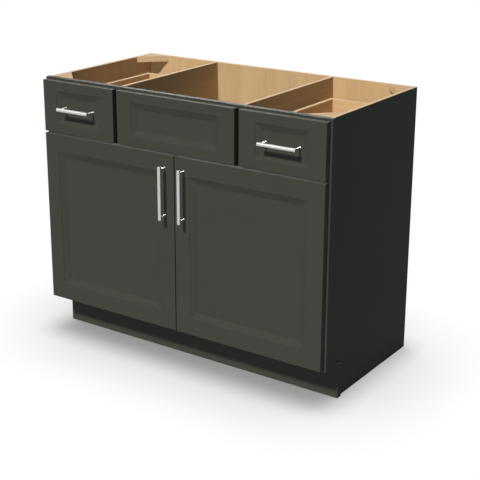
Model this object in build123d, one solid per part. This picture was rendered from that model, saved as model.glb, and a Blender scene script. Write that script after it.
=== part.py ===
from build123d import *
import os

# Vanity cabinet with a face frame, two drawers, a fixed sink front and two doors.
# Millimetres, +X to the right, +Y to the back, +Z up.
# The origin lies on the floor, under the middle of the whole object.

# Cabinet
CABINET_WIDTH = 1066.8
CABINET_DEPTH = 533.4
CABINET_HEIGHT = 876.3
SIDE_INSET = 6.35
SIDE_THICKNESS = 12.7
BACK_THICKNESS = 12.7
DECK_THICKNESS = 12.7
DIVIDER_THICKNESS = 12.7
BRACE_LEG = 80.0
BRACE_THICKNESS = 19.05

# Toe kick
TOE_HEIGHT = 114.3
TOE_DEPTH = 76.2
TOE_BOARD_THICKNESS = 19.05
SUB_TOE_THICKNESS = 12.7

# Face frame
FRAME_THICKNESS = 19.05
FRAME_STILE_WIDTH = 38.1
TOP_RAIL_WIDTH = 38.1
MID_RAIL_WIDTH = 38.1
BOTTOM_RAIL_WIDTH = 38.1
MULLION_WIDTH = 38.1

# Doors and drawer fronts
FRONT_THICKNESS = 19.05
FRONT_GAP = 3.175
FRONT_EASE = 0.8
SIDE_REVEAL = 6.35
TOP_REVEAL = 6.35
BOTTOM_REVEAL = 8.75
ROW_GAP = 6.75
FRONT_SPACING = 15.875
DOOR_GAP = 3.175
DRAWER_FRONT_WIDTH = 290.5
DRAWER_FRONT_HEIGHT = 168.275
FRONT_STILE_WIDTH = 55.5
DOOR_RAIL_WIDTH = 56.4
DRAWER_RAIL_WIDTH = 30.8
BEVEL_WIDTH = 19.8
QUIRK_DEPTH = 0.9
BEVEL_DROP = 6.1
BEVEL_LIP = 0.5
FRONT_PANEL_THICKNESS = 6.35
PANEL_TONGUE = 8.0
PANEL_CLEARANCE = 0.2

# Bar pulls
PULL_BAR_DIAMETER = 12.0
PULL_POST_DIAMETER = 6.0
PULL_STANDOFF = 27.0
DOOR_PULL_OVERHANG = 9.0
DRAWER_PULL_OVERHANG = 6.5
PULL_END_CHAMFER = 0.8
DOOR_PULL_CENTRES = 152.4
DRAWER_PULL_CENTRES = 114.3
DOOR_PULL_EDGE = 35.0
DOOR_PULL_DROP = 41.6

# Concealed hinges
HINGE_INSET = 90.0
HINGE_PIN_EDGE = 8.0
HINGE_PIN_DEPTH = 10.0
HINGE_PIN_DIAMETER = 2.0
HINGE_PIN_LENGTH = 20.0
HINGE_PIN_CLEARANCE = 0.04
HINGE_KNUCKLE_DIAMETER = 4.4
HINGE_ARM_WIDTH = 7.0
HINGE_ARM_THICKNESS = 1.5
HINGE_PLATE_HEIGHT = 44.0
HINGE_PLATE_MARGIN = 1.0
CUP_DIAMETER = 35.0
CUP_DEPTH = 13.0
CUP_EDGE = 3.0
CUP_WALL = 0.6
CUP_FLANGE_THICKNESS = 1.0
CUP_FLANGE_HEIGHT = 52.0
CUP_EAR_GAP = 9.0
CUP_EAR_WIDTH = 5.0

# Drawer boxes
BOX_DEPTH = 469.9
BOX_HEIGHT = 95.25
BOX_RISE = 7.4
BOX_WALL = 12.7
BOX_BOTTOM_THICKNESS = 6.35
BOX_BOTTOM_RISE = 12.7
BOX_GROOVE_DEPTH = 6.35
BOX_GROOVE_CLEARANCE = 0.2

# Ball-bearing slides
SLIDE_GAP = 12.7
SLIDE_LENGTH = 457.2
SLIDE_SETBACK = 3.0
SLIDE_HEIGHT = 45.0
SLIDE_STEEL = 1.2
SLIDE_CLEARANCE = 0.5
SLIDE_LIP_CLEARANCE = 2.0
PACKER_HEIGHT = 60.0

# Small hardware
BUMPER_DIAMETER = 10.0
BUMPER_CLEARANCE = 0.2
DOOR_BUMPER_EDGE = 25.0
DRAWER_BUMPER_EDGE = 16.0
CLIP_LEG = 25.0
CLIP_THICKNESS = 2.0
CLIP_HEIGHT = 40.0

# Planes from front to back
PULL_PROJECTION = PULL_STANDOFF + PULL_BAR_DIAMETER / 2
TOTAL_DEPTH = CABINET_DEPTH + FRONT_GAP + FRONT_THICKNESS + PULL_PROJECTION
FRONT_FACE = PULL_PROJECTION - TOTAL_DEPTH / 2
FRONT_BACK = FRONT_FACE + FRONT_THICKNESS
FRAME_FRONT = FRONT_BACK + FRONT_GAP
FRAME_BACK = FRAME_FRONT + FRAME_THICKNESS
CABINET_BACK = FRAME_FRONT + CABINET_DEPTH
BACK_INNER = CABINET_BACK - BACK_THICKNESS
TOE_FRONT = FRAME_FRONT + TOE_DEPTH
TOE_BACK = TOE_FRONT + TOE_BOARD_THICKNESS
SUB_TOE_BACK = TOE_BACK + SUB_TOE_THICKNESS

# Planes of the right half, from the outside in
FRAME_END = CABINET_WIDTH / 2
SIDE_OUTER = FRAME_END - SIDE_INSET
SIDE_INNER = SIDE_OUTER - SIDE_THICKNESS
STILE_EDGE = FRAME_END - FRAME_STILE_WIDTH
FRONT_END = FRAME_END - SIDE_REVEAL
SINK_FRONT_WIDTH = 2 * (FRONT_END - DRAWER_FRONT_WIDTH - FRONT_SPACING)
MULLION_CENTRE = SINK_FRONT_WIDTH / 2 + FRONT_SPACING / 2
MULLION_OUTER = MULLION_CENTRE + MULLION_WIDTH / 2
MULLION_INNER = MULLION_CENTRE - MULLION_WIDTH / 2
DIVIDER_OUTER = MULLION_CENTRE + DIVIDER_THICKNESS / 2
DIVIDER_INNER = MULLION_CENTRE - DIVIDER_THICKNESS / 2
DRAWER_FRONT_CENTRE = FRONT_END - DRAWER_FRONT_WIDTH / 2
BAY_CENTRE = (MULLION_OUTER + STILE_EDGE) / 2
BOX_OUTER = STILE_EDGE - SLIDE_GAP
BOX_INNER = MULLION_OUTER + SLIDE_GAP
DOOR_WIDTH = FRONT_END - DOOR_GAP / 2
DOOR_CENTRE = FRONT_END - DOOR_WIDTH / 2

# Levels from the floor up
DOOR_BOTTOM = TOE_HEIGHT + BOTTOM_REVEAL
DRAWER_FRONT_TOP = CABINET_HEIGHT - TOP_REVEAL
DRAWER_FRONT_BOTTOM = DRAWER_FRONT_TOP - DRAWER_FRONT_HEIGHT
DOOR_TOP = DRAWER_FRONT_BOTTOM - ROW_GAP
DOOR_HEIGHT = DOOR_TOP - DOOR_BOTTOM
BOTTOM_RAIL_TOP = TOE_HEIGHT + BOTTOM_RAIL_WIDTH
DECK_BOTTOM = BOTTOM_RAIL_TOP - DECK_THICKNESS
MID_RAIL_CENTRE = DOOR_TOP + ROW_GAP / 2
MID_RAIL_BOTTOM = MID_RAIL_CENTRE - MID_RAIL_WIDTH / 2
MID_RAIL_TOP = MID_RAIL_CENTRE + MID_RAIL_WIDTH / 2
TOP_RAIL_BOTTOM = CABINET_HEIGHT - TOP_RAIL_WIDTH
BOX_LOW = MID_RAIL_TOP + BOX_RISE
BOX_HIGH = BOX_LOW + BOX_HEIGHT
BOX_BACK = FRONT_BACK + BOX_DEPTH
SLIDE_LEVEL = (BOX_LOW + BOX_HIGH) / 2
SLIDE_FRONT = FRAME_FRONT + SLIDE_SETBACK
SLIDE_BACK = SLIDE_FRONT + SLIDE_LENGTH
HINGE_LEVELS = (DOOR_BOTTOM + HINGE_INSET, DOOR_TOP - HINGE_INSET)

# Depth of a front's recessed panel below its front face
PANEL_DEPTH = QUIRK_DEPTH + BEVEL_DROP + BEVEL_LIP


def slab(x_low, x_high, y_low, y_high, z_low, z_high):
    """Return a block between two opposite corners."""
    centre = Pos((x_low + x_high) / 2, (y_low + y_high) / 2, (z_low + z_high) / 2)
    return centre * Box(x_high - x_low, y_high - y_low, z_high - z_low)


def upright_rod(x, y, z_middle, diameter, length):
    """Return a round rod that stands upright."""
    return Pos(x, y, z_middle) * Cylinder(diameter / 2, length)


def forward_rod(x, y_low, y_high, z, diameter):
    """Return a round rod that runs from front to back."""
    placed = Pos(x, (y_low + y_high) / 2, z) * Rot(90, 0, 0)
    return placed * Cylinder(diameter / 2, y_high - y_low)


def mirrored(shape):
    """Return a shape of the right half turned into that of the left half."""
    return mirror(shape, about=Plane.YZ)


def write(name, *shapes):
    """Write one node from the solids of its shapes."""
    solids = [solid for shape in shapes for solid in shape.solids()]
    node = solids[0] if len(solids) == 1 else Compound(solids)
    node.label = name
    export_step(node, f"parts/{name}.step")


def write_pair(name, *shapes):
    """Write a node of the right half and its mirror image of the left half."""
    write(f"right_{name}", *shapes)
    write(f"left_{name}", *[mirrored(shape) for shape in shapes])


# Carcass


def side_panel():
    """Return the right side with its toe notch."""
    side = slab(SIDE_INNER, SIDE_OUTER, FRAME_BACK, CABINET_BACK, 0, CABINET_HEIGHT)
    return side - slab(SIDE_INNER, SIDE_OUTER, FRAME_BACK, TOE_BACK, 0, TOE_HEIGHT)


def brace(y_corner, y_direction):
    """Return a triangular block in a right corner of the top."""
    outline = Polyline(
        (SIDE_INNER, y_corner),
        (SIDE_INNER - BRACE_LEG, y_corner),
        (SIDE_INNER, y_corner + y_direction * BRACE_LEG),
        close=True,
    )
    low = CABINET_HEIGHT - BRACE_THICKNESS
    return Pos(0, 0, low) * extrude(make_face(outline), amount=BRACE_THICKNESS, dir=(0, 0, 1))


def write_carcass():
    """Write the panels, the boards of the toe kick and the corner braces."""
    write_pair("side_panel", side_panel())
    write("back_panel", slab(-SIDE_INNER, SIDE_INNER, BACK_INNER, CABINET_BACK, 0, CABINET_HEIGHT))
    write("bottom_panel", slab(-SIDE_INNER, SIDE_INNER, FRAME_BACK, BACK_INNER, DECK_BOTTOM, BOTTOM_RAIL_TOP))
    write("toe_board", slab(-FRAME_END, FRAME_END, TOE_FRONT, TOE_BACK, 0, TOE_HEIGHT))
    write("sub_toe_board", slab(-SIDE_INNER, SIDE_INNER, TOE_BACK, SUB_TOE_BACK, 0, DECK_BOTTOM))
    divider = slab(DIVIDER_INNER, DIVIDER_OUTER, FRAME_BACK, BACK_INNER, MID_RAIL_BOTTOM, CABINET_HEIGHT)
    write_pair("divider", divider)
    write_pair("front_brace", brace(FRAME_BACK, 1))
    write_pair("back_brace", brace(BACK_INNER, -1))


def write_face_frame():
    """Write the stiles, rails and mullions of the face frame."""
    depth = (FRAME_FRONT, FRAME_BACK)
    write_pair("frame_stile", slab(STILE_EDGE, FRAME_END, *depth, TOE_HEIGHT, CABINET_HEIGHT))
    write_pair("frame_mullion", slab(MULLION_INNER, MULLION_OUTER, *depth, MID_RAIL_TOP, TOP_RAIL_BOTTOM))
    write("frame_top_rail", slab(-STILE_EDGE, STILE_EDGE, *depth, TOP_RAIL_BOTTOM, CABINET_HEIGHT))
    write("frame_mid_rail", slab(-STILE_EDGE, STILE_EDGE, *depth, MID_RAIL_BOTTOM, MID_RAIL_TOP))
    write("frame_bottom_rail", slab(-STILE_EDGE, STILE_EDGE, *depth, TOE_HEIGHT, BOTTOM_RAIL_TOP))


# Framed fronts


def window(width, height, middle, depth):
    """Return an upright rectangle at a depth below a front's face."""
    plane = Plane.XZ.offset(FRONT_THICKNESS - depth)
    return plane * Pos(0, middle) * Rectangle(width, height)


def front_frame(width, height, rail_width):
    """Return a front's whole frame with its bevelled window and panel groove."""
    frame = slab(-width / 2, width / 2, -FRONT_THICKNESS, 0, 0, height)
    frame = fillet(frame.edges().group_by(Axis.Y)[0], FRONT_EASE)
    middle = height / 2
    outer = (width - 2 * FRONT_STILE_WIDTH, height - 2 * rail_width)
    inner = (outer[0] - 2 * BEVEL_WIDTH, outer[1] - 2 * BEVEL_WIDTH)
    groove = (inner[0] + 2 * PANEL_TONGUE, inner[1] + 2 * PANEL_TONGUE)
    slope_foot = QUIRK_DEPTH + BEVEL_DROP
    groove_width = FRONT_PANEL_THICKNESS + PANEL_CLEARANCE
    frame -= extrude(window(*outer, middle, QUIRK_DEPTH), amount=QUIRK_DEPTH)
    frame -= loft([window(*outer, middle, QUIRK_DEPTH), window(*inner, middle, slope_foot)])
    frame -= extrude(window(*inner, middle, FRONT_THICKNESS), amount=FRONT_THICKNESS - slope_foot)
    frame -= extrude(window(*groove, middle, PANEL_DEPTH + groove_width), amount=groove_width)
    return frame


def stile_zone(width, height, rail_width):
    """Return the space of a front's right stile, mitred along the bevels."""
    edge = width / 2
    flat = edge - FRONT_STILE_WIDTH
    foot = flat - BEVEL_WIDTH
    outline = Polyline(
        (edge, 0),
        (edge, height),
        (flat, height),
        (flat, height - rail_width),
        (foot, height - rail_width - BEVEL_WIDTH),
        (foot, rail_width + BEVEL_WIDTH),
        (flat, rail_width),
        (flat, 0),
        close=True,
    )
    return extrude(Plane.XZ * make_face(outline), amount=FRONT_THICKNESS, dir=(0, -1, 0))


def front_pieces(width, height, rail_width):
    """Return the right stile, left stile, rails and panel of a front, its back on the XZ plane."""
    frame = front_frame(width, height, rail_width)
    zone = stile_zone(width, height, rail_width)
    right_stile = frame & zone
    left_stile = frame & mirrored(zone)
    rails = frame - zone - mirrored(zone)
    tongue = PANEL_TONGUE - PANEL_CLEARANCE
    half_width = width / 2 - FRONT_STILE_WIDTH - BEVEL_WIDTH + tongue
    low = rail_width + BEVEL_WIDTH - tongue
    panel_face = PANEL_DEPTH - FRONT_THICKNESS
    panel_back = panel_face + FRONT_PANEL_THICKNESS
    panel = slab(-half_width, half_width, panel_face, panel_back, low, height - low)
    return right_stile, left_stile, rails, panel


def bar_pull(centres, overhang, post_length):
    """Return an upright bar and its two posts, centred on the post feet at y 0."""
    bar = upright_rod(0, -post_length, 0, PULL_BAR_DIAMETER, centres + 2 * overhang)
    post = forward_rod(0, -post_length, 0, centres / 2, PULL_POST_DIAMETER) - bar
    bar = chamfer(bar.edges().filter_by(GeomType.CIRCLE), PULL_END_CHAMFER)
    return bar, post, mirror(post, about=Plane.XY)


def write_sink_front():
    """Write the fixed front of the sink bay and the clips that hold it."""
    pieces = front_pieces(SINK_FRONT_WIDTH, DRAWER_FRONT_HEIGHT, DRAWER_RAIL_WIDTH)
    place = Pos(0, FRONT_BACK, DRAWER_FRONT_BOTTOM)
    right_stile, left_stile, rails, panel = [place * piece for piece in pieces]
    write("sink_front_stiles", right_stile, left_stile)
    write("sink_front_rails", rails)
    write("sink_front_panel", panel)
    low = (MID_RAIL_TOP + TOP_RAIL_BOTTOM - CLIP_HEIGHT) / 2
    seat_edge = MULLION_INNER - CLIP_LEG
    seat = slab(seat_edge, MULLION_INNER, FRONT_BACK, FRONT_BACK + CLIP_THICKNESS, low, low + CLIP_HEIGHT)
    leg_edge = MULLION_INNER - CLIP_THICKNESS
    leg = slab(leg_edge, MULLION_INNER, FRONT_BACK, FRAME_BACK, low, low + CLIP_HEIGHT)
    clip = seat + leg
    write("sink_front_clips", clip, mirrored(clip))


# Doors


def hinge_cup(level):
    """Return a right hinge's cup with its flange and the ears for the pin."""
    cup_centre = FRONT_END - CUP_EDGE - CUP_DIAMETER / 2
    bore = CUP_DIAMETER - 2 * CUP_WALL
    floor = FRONT_BACK - CUP_DEPTH
    hollow = forward_rod(cup_centre, floor + CUP_WALL, FRONT_BACK + CUP_FLANGE_THICKNESS, level, bore)
    cup = forward_rod(cup_centre, floor, FRONT_BACK, level, CUP_DIAMETER)
    half_flange = CUP_FLANGE_HEIGHT / 2
    flange_x = (cup_centre - CUP_DIAMETER / 2, cup_centre + CUP_DIAMETER / 2)
    flange_y = (FRONT_BACK, FRONT_BACK + CUP_FLANGE_THICKNESS)
    cup += slab(*flange_x, *flange_y, level - half_flange, level + half_flange)
    cup -= hollow
    pin_x = FRONT_END - HINGE_PIN_EDGE
    ear_x = (pin_x - CUP_EAR_WIDTH / 2, pin_x + CUP_EAR_WIDTH / 2)
    ear_y = (floor, FRONT_BACK - HINGE_PIN_DEPTH + CUP_EAR_WIDTH / 2)
    ears = slab(*ear_x, *ear_y, level - HINGE_PIN_LENGTH / 2, level + HINGE_PIN_LENGTH / 2)
    ears -= slab(*ear_x, *ear_y, level - CUP_EAR_GAP / 2, level + CUP_EAR_GAP / 2)
    cup += ears & forward_rod(cup_centre, floor, FRONT_BACK, level, CUP_DIAMETER)
    return cup - hinge_pin(level)


def hinge_pin(level):
    """Return a right hinge's pin."""
    pin_x = FRONT_END - HINGE_PIN_EDGE
    pin_y = FRONT_BACK - HINGE_PIN_DEPTH
    return upright_rod(pin_x, pin_y, level, HINGE_PIN_DIAMETER, HINGE_PIN_LENGTH)


def hinge_arm(level):
    """Return a right hinge's bent arm with its knuckle and its plate on the stile's edge."""
    pin_x = FRONT_END - HINGE_PIN_EDGE
    pin_y = FRONT_BACK - HINGE_PIN_DEPTH
    half_arm = HINGE_ARM_THICKNESS / 2
    width = (level - HINGE_ARM_WIDTH / 2, level + HINGE_ARM_WIDTH / 2)
    plate_x = (STILE_EDGE - HINGE_ARM_THICKNESS, STILE_EDGE)
    plate_y = (FRAME_FRONT + HINGE_PLATE_MARGIN, FRAME_BACK - HINGE_PLATE_MARGIN)
    half_plate = HINGE_PLATE_HEIGHT / 2
    arm = upright_rod(pin_x, pin_y, level, HINGE_KNUCKLE_DIAMETER, HINGE_ARM_WIDTH)
    arm += slab(plate_x[0], pin_x, pin_y - half_arm, pin_y + half_arm, *width)
    arm += slab(*plate_x, pin_y - half_arm, plate_y[1], *width)
    arm += slab(*plate_x, *plate_y, level - half_plate, level + half_plate)
    hole = HINGE_PIN_DIAMETER + 2 * HINGE_PIN_CLEARANCE
    return arm - upright_rod(pin_x, pin_y, level, hole, HINGE_ARM_WIDTH)


def write_doors():
    """Write both doors with their hinges and pulls."""
    pieces = front_pieces(DOOR_WIDTH, DOOR_HEIGHT, DOOR_RAIL_WIDTH)
    place = Pos(DOOR_CENTRE, FRONT_BACK, DOOR_BOTTOM)
    hinge_stile, free_stile, rails, panel = [place * piece for piece in pieces]
    cup_centre = FRONT_END - CUP_EDGE - CUP_DIAMETER / 2
    for level in HINGE_LEVELS:
        hinge_stile -= forward_rod(cup_centre, FRONT_BACK - CUP_DEPTH, FRONT_BACK, level, CUP_DIAMETER)
    write_pair("door_stiles", hinge_stile, free_stile)
    write_pair("door_rails", rails)
    write_pair("door_panel", panel)
    write_pair("hinge_cups", *[hinge_cup(level) for level in HINGE_LEVELS])
    write_pair("hinge_pins", *[hinge_pin(level) for level in HINGE_LEVELS])
    write_pair("hinge_arms", *[hinge_arm(level) for level in HINGE_LEVELS])
    pull_level = DOOR_TOP - DOOR_PULL_DROP - DOOR_PULL_CENTRES / 2
    pull_place = Pos(DOOR_GAP / 2 + DOOR_PULL_EDGE, FRONT_FACE, pull_level)
    pull = bar_pull(DOOR_PULL_CENTRES, DOOR_PULL_OVERHANG, PULL_STANDOFF)
    write_pair("door_pull", *[pull_place * piece for piece in pull])


# Drawers


def write_drawer_front():
    """Write the framed fronts of both drawers and their pulls."""
    pieces = front_pieces(DRAWER_FRONT_WIDTH, DRAWER_FRONT_HEIGHT, DRAWER_RAIL_WIDTH)
    place = Pos(DRAWER_FRONT_CENTRE, FRONT_BACK, DRAWER_FRONT_BOTTOM)
    right_stile, left_stile, rails, panel = [place * piece for piece in pieces]
    write_pair("drawer_front_stiles", right_stile, left_stile)
    write_pair("drawer_front_rails", rails)
    write_pair("drawer_front_panel", panel)
    pull_level = (DRAWER_FRONT_BOTTOM + DRAWER_FRONT_TOP) / 2
    pull_place = Pos(DRAWER_FRONT_CENTRE, FRONT_FACE + PANEL_DEPTH, pull_level) * Rot(0, 90, 0)
    pull = bar_pull(DRAWER_PULL_CENTRES, DRAWER_PULL_OVERHANG, PULL_STANDOFF + PANEL_DEPTH)
    write_pair("drawer_pull", *[pull_place * piece for piece in pull])


def write_drawer_box():
    """Write the walls and the grooved-in bottom of both drawer boxes."""
    levels = (BOX_LOW, BOX_HIGH)
    inside_x = (BOX_INNER + BOX_WALL, BOX_OUTER - BOX_WALL)
    inside_y = (FRONT_BACK + BOX_WALL, BOX_BACK - BOX_WALL)
    bottom_low = BOX_LOW + BOX_BOTTOM_RISE
    groove_top = bottom_low + BOX_BOTTOM_THICKNESS + BOX_GROOVE_CLEARANCE
    groove = slab(
        inside_x[0] - BOX_GROOVE_DEPTH,
        inside_x[1] + BOX_GROOVE_DEPTH,
        inside_y[0] - BOX_GROOVE_DEPTH,
        inside_y[1] + BOX_GROOVE_DEPTH,
        bottom_low,
        groove_top,
    )
    outer_wall = slab(inside_x[1], BOX_OUTER, FRONT_BACK, BOX_BACK, *levels) - groove
    inner_wall = slab(BOX_INNER, inside_x[0], FRONT_BACK, BOX_BACK, *levels) - groove
    write_pair("drawer_box_sides", outer_wall, inner_wall)
    write_pair("drawer_box_front", slab(*inside_x, FRONT_BACK, inside_y[0], *levels) - groove)
    write_pair("drawer_box_back", slab(*inside_x, inside_y[1], BOX_BACK, *levels) - groove)
    tongue = BOX_GROOVE_DEPTH - BOX_GROOVE_CLEARANCE
    bottom = slab(
        inside_x[0] - tongue,
        inside_x[1] + tongue,
        inside_y[0] - tongue,
        inside_y[1] + tongue,
        bottom_low,
        bottom_low + BOX_BOTTOM_THICKNESS,
    )
    write_pair("drawer_bottom", bottom)


def channel(web_x, lip_x, half_height):
    """Return a rail of C section whose web and lips stand at the given places across the bay."""
    span = (min(web_x, lip_x), max(web_x, lip_x))
    levels = (SLIDE_LEVEL - half_height, SLIDE_LEVEL + half_height)
    rail = slab(*span, SLIDE_FRONT, SLIDE_BACK, *levels)
    inward = SLIDE_STEEL if lip_x > web_x else -SLIDE_STEEL
    hollow = (min(web_x + inward, lip_x), max(web_x + inward, lip_x))
    clear_levels = (levels[0] + SLIDE_STEEL, levels[1] - SLIDE_STEEL)
    return rail - slab(*hollow, SLIDE_FRONT, SLIDE_BACK, *clear_levels)


def both_slides(rail):
    """Return a rail beside the side panel and its mirror image beside the divider."""
    return rail, mirror(rail, about=Plane.YZ.offset(BAY_CENTRE))


def write_slides():
    """Write the three nested rails of every slide and the packers behind them."""
    step = SLIDE_STEEL + SLIDE_CLEARANCE
    half_outer = SLIDE_HEIGHT / 2
    lip_x = BOX_OUTER + SLIDE_LIP_CLEARANCE
    outer = both_slides(channel(STILE_EDGE, lip_x, half_outer))
    middle = both_slides(channel(STILE_EDGE - step, lip_x, half_outer - step))
    inner = both_slides(channel(BOX_OUTER, STILE_EDGE - 2 * step, half_outer - 2 * step))
    write("slide_outer_rails", *outer, *[mirrored(rail) for rail in outer])
    write_pair("slide_middle_rails", *middle)
    write_pair("slide_inner_rails", *inner)
    levels = (SLIDE_LEVEL - PACKER_HEIGHT / 2, SLIDE_LEVEL + PACKER_HEIGHT / 2)
    side_packer = slab(STILE_EDGE, SIDE_INNER, FRAME_BACK, BACK_INNER, *levels)
    divider_packer = slab(DIVIDER_OUTER, MULLION_OUTER, FRAME_BACK, BACK_INNER, *levels)
    packers = (side_packer, divider_packer)
    write("slide_packers", *packers, *[mirrored(packer) for packer in packers])


def write_bumpers():
    """Write the bumpers on the face frame behind the doors and drawer fronts."""
    door_x = DOOR_GAP / 2 + DOOR_BUMPER_EDGE
    top_overlap = (MID_RAIL_BOTTOM + DOOR_TOP) / 2
    bottom_overlap = (DOOR_BOTTOM + BOTTOM_RAIL_TOP) / 2
    drawer_overlap = (TOP_RAIL_BOTTOM + DRAWER_FRONT_TOP) / 2
    drawer_x = (FRONT_END - DRAWER_BUMPER_EDGE, FRONT_END - DRAWER_FRONT_WIDTH + DRAWER_BUMPER_EDGE)
    places = [(door_x, top_overlap), (door_x, bottom_overlap)]
    places += [(x, drawer_overlap) for x in drawer_x]
    face = FRONT_BACK + BUMPER_CLEARANCE
    bumpers = [forward_rod(x, face, FRAME_FRONT, z, BUMPER_DIAMETER) for x, z in places]
    write("bumpers", *bumpers, *[mirrored(bumper) for bumper in bumpers])


os.makedirs("parts", exist_ok=True)
write_carcass()
write_face_frame()
write_sink_front()
write_doors()
write_drawer_front()
write_drawer_box()
write_slides()
write_bumpers()
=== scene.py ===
import logging
import math
from dataclasses import dataclass, field, replace
from enum import Enum
from typing import Iterable, NamedTuple, Sequence

import bmesh
import bpy
from mathutils import Matrix, Vector


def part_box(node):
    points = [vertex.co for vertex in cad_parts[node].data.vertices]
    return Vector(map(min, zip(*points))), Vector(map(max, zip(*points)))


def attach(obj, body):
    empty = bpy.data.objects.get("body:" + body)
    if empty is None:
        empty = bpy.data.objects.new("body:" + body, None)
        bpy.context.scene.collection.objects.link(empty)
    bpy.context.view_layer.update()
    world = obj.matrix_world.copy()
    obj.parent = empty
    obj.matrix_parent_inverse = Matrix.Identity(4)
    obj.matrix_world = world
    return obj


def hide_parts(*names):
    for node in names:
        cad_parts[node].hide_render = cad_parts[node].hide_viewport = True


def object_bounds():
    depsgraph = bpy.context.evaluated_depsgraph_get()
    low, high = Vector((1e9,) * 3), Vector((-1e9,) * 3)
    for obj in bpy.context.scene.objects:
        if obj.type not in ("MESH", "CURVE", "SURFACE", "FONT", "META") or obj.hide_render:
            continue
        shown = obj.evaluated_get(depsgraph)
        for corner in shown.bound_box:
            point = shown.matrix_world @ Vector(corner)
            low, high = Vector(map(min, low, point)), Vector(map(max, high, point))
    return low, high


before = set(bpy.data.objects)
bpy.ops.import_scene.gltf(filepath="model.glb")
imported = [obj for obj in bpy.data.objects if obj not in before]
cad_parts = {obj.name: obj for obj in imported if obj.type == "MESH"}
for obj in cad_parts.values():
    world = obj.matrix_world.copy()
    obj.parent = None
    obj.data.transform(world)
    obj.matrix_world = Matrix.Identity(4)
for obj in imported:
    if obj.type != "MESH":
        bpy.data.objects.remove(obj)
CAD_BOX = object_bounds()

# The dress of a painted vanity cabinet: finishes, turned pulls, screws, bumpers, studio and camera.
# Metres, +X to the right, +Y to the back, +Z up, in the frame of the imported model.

LOG = logging.getLogger("vanity")
MM = 0.001
SHARP = math.radians(30)
FORWARD = Vector((0, -1, 0))
BACKWARD = Vector((0, 1, 0))

Colour = tuple[float, float, float]
Span = tuple[float, float]
Material = bpy.types.Material
Node = bpy.types.Node
Piece = bpy.types.Object
Socket = bpy.types.NodeSocket
WHITE: Colour = (1.0, 1.0, 1.0)


class Axis(Enum):
    """An axis of the frame."""

    X = 0
    Y = 1
    Z = 2

    @property
    def vector(self) -> Vector:
        """The unit vector along the axis."""
        return Vector([1.0 if i == self.value else 0.0 for i in range(3)])


class Hand(Enum):
    """The left or the right half of the cabinet, with its side of the YZ plane."""

    LEFT = -1
    RIGHT = 1

    def node(self, name: str) -> str:
        """Return the name of this half's node or body."""
        return f"{self.name.lower()}_{name}"


class Shows(Enum):
    """Whether a lamp shows on matt surfaces, and whether on shiny ones."""

    ALL = (True, True)
    MATT = (True, False)
    SHINY = (False, True)


class Seat(NamedTuple):
    """Where a round head sits: its foot, the way it faces and its size beside the set's own."""

    foot: Vector
    facing: Vector
    size: float = 1.0


# Node trees


class Graph:
    """A node tree under construction."""

    def __init__(self, tree: bpy.types.NodeTree) -> None:
        """Start on an empty tree."""
        self.tree = tree
        tree.nodes.clear()

    def node(self, kind: str, inputs: dict[str | int, object] | None = None, **settings: object) -> Node:
        """Add a node.

        Args:
            kind: The node's type name.
            inputs: Values or sockets for its inputs, by their name or place.
            settings: Attributes of the node.

        Returns:
            The new node.
        """
        made = self.tree.nodes.new(kind)
        for name, value in settings.items():
            setattr(made, name, value)
        for key, value in (inputs or {}).items():
            self.put(made.inputs[key], value)
        return made

    def put(self, socket: Socket, value: object) -> None:
        """Give an input a value, or link an output to it.

        Args:
            socket: The input.
            value: The value or the output.
        """
        if isinstance(value, Socket):
            self.tree.links.new(value, socket)
        else:
            socket.default_value = value

    def math(self, operation: str, first: object, second: object = 0.0) -> Socket:
        """Return the result of a sum on two values or sockets."""
        return self.node("ShaderNodeMath", {0: first, 1: second}, operation=operation).outputs[0]

    def ranged(self, value: Socket, low: float, high: float) -> Socket:
        """Return a value from 0 to 1 spread over another range."""
        limits = {"Value": value, "To Min": low, "To Max": high}
        return self.node("ShaderNodeMapRange", limits).outputs["Result"]

    def eased(self, value: Socket, start: float, end: float, low: float = 0.0, high: float = 1.0) -> Socket:
        """Return a smooth step from low to high while a value goes from start to end."""
        limits = {"From Min": start, "From Max": end, "To Min": low, "To Max": high, "Value": value}
        return self.node("ShaderNodeMapRange", limits, interpolation_type="SMOOTHSTEP").outputs["Result"]

    def blend(self, factor: object, first: object, second: object) -> Socket:
        """Mix two colours.

        Args:
            factor: The share of the second.
            first: A colour or a socket.
            second: A colour or a socket.

        Returns:
            The mixed colour.
        """
        pair = [c if isinstance(c, Socket) else (*c, 1.0) for c in (first, second)]
        mix = self.node("ShaderNodeMix", {0: factor, 6: pair[0], 7: pair[1]}, data_type="RGBA")
        return mix.outputs[2]

    def blend_value(self, factor: object, first: object, second: object) -> Socket:
        """Return a mix of two numbers."""
        return self.node("ShaderNodeMix", {0: factor, 2: first, 3: second}, data_type="FLOAT").outputs[0]

    def along(self, coordinate: str, axis: Axis) -> Socket:
        """Return one axis of the object's own coordinates, or of the way that its surface faces."""
        place = self.node("ShaderNodeTexCoord").outputs[coordinate]
        return self.node("ShaderNodeSeparateXYZ", {0: place}).outputs[axis.value]

    def noise(self, scale: Sequence[float], place: Sequence[float] = (0, 0, 0), detail: float = 3.0,
              warp: float = 0.0) -> Socket:
        """Return noise in the object's own coordinates.

        Args:
            scale: Features per metre along each axis.
            place: Shift of the pattern, in features.
            detail: Octaves.
            warp: Distortion.

        Returns:
            The noise's value, about 0.5 on average.
        """
        own = self.node("ShaderNodeTexCoord").outputs["Object"]
        mapping = self.node("ShaderNodeMapping", {"Vector": own, "Scale": scale, "Location": place})
        look = {"Vector": mapping.outputs["Vector"], "Scale": 1.0, "Detail": detail, "Distortion": warp}
        return self.node("ShaderNodeTexNoise", look).outputs["Fac"]

    def bump(self, height: Socket, depth: float) -> Socket:
        """Return a normal from a height of 0 to 1 over a depth in metres."""
        return self.node("ShaderNodeBump", {"Distance": depth, "Height": height}).outputs["Normal"]


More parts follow.
